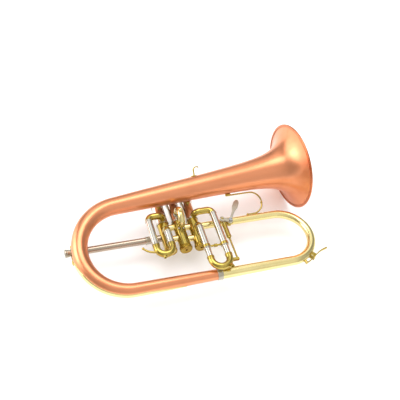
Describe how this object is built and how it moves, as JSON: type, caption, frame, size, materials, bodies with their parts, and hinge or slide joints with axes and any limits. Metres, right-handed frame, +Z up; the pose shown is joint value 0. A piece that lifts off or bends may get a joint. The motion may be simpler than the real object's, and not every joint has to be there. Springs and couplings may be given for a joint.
{
  "type": "flugelhorn",
  "caption": "Rotund conical brass horn with a copper bell, piston valves, vertical tuning slides and a slide trigger, lying on its side.",
  "frame": {"origin": "centre of the mouthpiece receiver mouth, on the leadpipe axis", "axes": "+X along the leadpipe towards the bell, +Y towards the finger buttons, +Z up towards the bell side of the valves"},
  "size_m": [0.4345, 0.2657, 0.155],
  "materials": {
    "bell_copper": "satin lacquered copper",
    "yellow_brass": "polished lacquered brass",
    "nickel_silver": "polished nickel silver",
    "spring_steel": "plain steel",
    "pearl": "pearl inlay",
    "felt": "felt",
    "cork": "cork"
  },
  "bodies": {
    "horn": {"bell_flare": "bell_copper", "bell_throat": "bell_copper", "rim_wire": "bell_copper", "bell_bow": "bell_copper", "tail_tube": "bell_copper", "ferrules": "nickel_silver", "bow_guard": "yellow_brass", "lower_tube": "yellow_brass", "front_bow": "yellow_brass", "upper_tube": "yellow_brass", "casing_1": "yellow_brass", "casing_2": "yellow_brass", "casing_3": "yellow_brass", "balusters": "nickel_silver", "bottom_caps": "yellow_brass", "top_caps": "nickel_silver", "casing_bridges": "yellow_brass", "spring_1": "spring_steel", "spring_2": "spring_steel", "spring_3": "spring_steel", "leadpipe": "nickel_silver", "clamp_collar": "yellow_brass", "slide1_crook": "yellow_brass", "slide1_sleeves": "nickel_silver", "slide2_sleeves": "nickel_silver", "slide3_crook": "yellow_brass", "slide3_sleeves": "nickel_silver", "slide3_brace": "yellow_brass", "trigger_bracket": "yellow_brass", "trigger_screw": "spring_steel", "water_key_saddle": "yellow_brass", "finger_hook": "yellow_brass", "loop_brace": "yellow_brass", "braces": "yellow_brass"},
    "valve_1_piston": {"piston_1": "nickel_silver", "button_1": "nickel_silver", "pearl_1": "pearl", "felt_1": "felt"},
    "valve_2_piston": {"piston_2": "nickel_silver", "button_2": "nickel_silver", "pearl_2": "pearl", "felt_2": "felt"},
    "valve_3_piston": {"piston_3": "nickel_silver", "button_3": "nickel_silver", "pearl_3": "pearl", "felt_3": "felt"},
    "first_slide": {"slide1_legs": "nickel_silver", "slide1_bow": "yellow_brass", "slide1_pull": "yellow_brass"},
    "second_slide": {"slide2_legs": "nickel_silver", "slide2_bow": "yellow_brass"},
    "third_slide": {"slide3_legs": "nickel_silver", "slide3_bow": "yellow_brass", "trigger_rod": "yellow_brass"},
    "trigger": {"trigger_lever": "nickel_silver"},
    "mouthpipe": {"mouthpipe": "nickel_silver"},
    "clamp_screw": {"clamp_screw": "yellow_brass"},
    "water_key": {"water_key_lever": "yellow_brass", "water_key_cork": "cork"}
  },
  "joints": [
    {"name": "valve_1_press", "type": "slide", "parent": "horn", "child": "valve_1_piston", "axis": [0, -1, 0], "range_m": [0, 0.016], "stiffness_N_per_m": 110, "springref_m": -0.03, "deforming": ["spring_1"]},
    {"name": "valve_2_press", "type": "slide", "parent": "horn", "child": "valve_2_piston", "axis": [0, -1, 0], "range_m": [0, 0.016], "stiffness_N_per_m": 110, "springref_m": -0.03, "deforming": ["spring_2"]},
    {"name": "valve_3_press", "type": "slide", "parent": "horn", "child": "valve_3_piston", "axis": [0, -1, 0], "range_m": [0, 0.016], "stiffness_N_per_m": 110, "springref_m": -0.03, "deforming": ["spring_3"]},
    {"name": "first_slide_pull", "type": "slide", "parent": "horn", "child": "first_slide", "axis": [0, -1, 0], "range_m": [0, 0.025]},
    {"name": "second_slide_pull", "type": "slide", "parent": "horn", "child": "second_slide", "axis": [0, 0, 1], "range_m": [0, 0.012]},
    {"name": "third_slide_throw", "type": "slide", "parent": "horn", "child": "third_slide", "axis": [0, -1, 0], "range_m": [0, 0.014], "stiffness_N_per_m": 120, "springref_m": -0.012},
    {"name": "trigger_swing", "type": "hinge", "parent": "horn", "child": "trigger", "pos_m": [0.283, 0.002, 0.0171], "axis": [0, 0, 1], "range_deg": [0, 57.4]},
    {"name": "mouthpipe_tuning", "type": "slide", "parent": "horn", "child": "mouthpipe", "axis": [-1, 0, 0], "range_m": [0, 0.02]},
    {"name": "clamp_screw_turn", "type": "hinge", "parent": "horn", "child": "clamp_screw", "pos_m": [0.013, 0, 0], "axis": [0, -1, 0], "range_deg": [-180, 180]},
    {"name": "water_key_open", "type": "hinge", "parent": "horn", "child": "water_key", "pos_m": [0.40729, -0.09014, 0.0036], "axis": [0, 0, 1], "range_deg": [0, 15], "stiffness_Nm_per_rad": 0.05, "springref_deg": -17.19}
  ],
  "couplings": [
    {"joint": "trigger_swing", "follows": "third_slide_throw", "rad_per_m": 71.5}
  ]
}
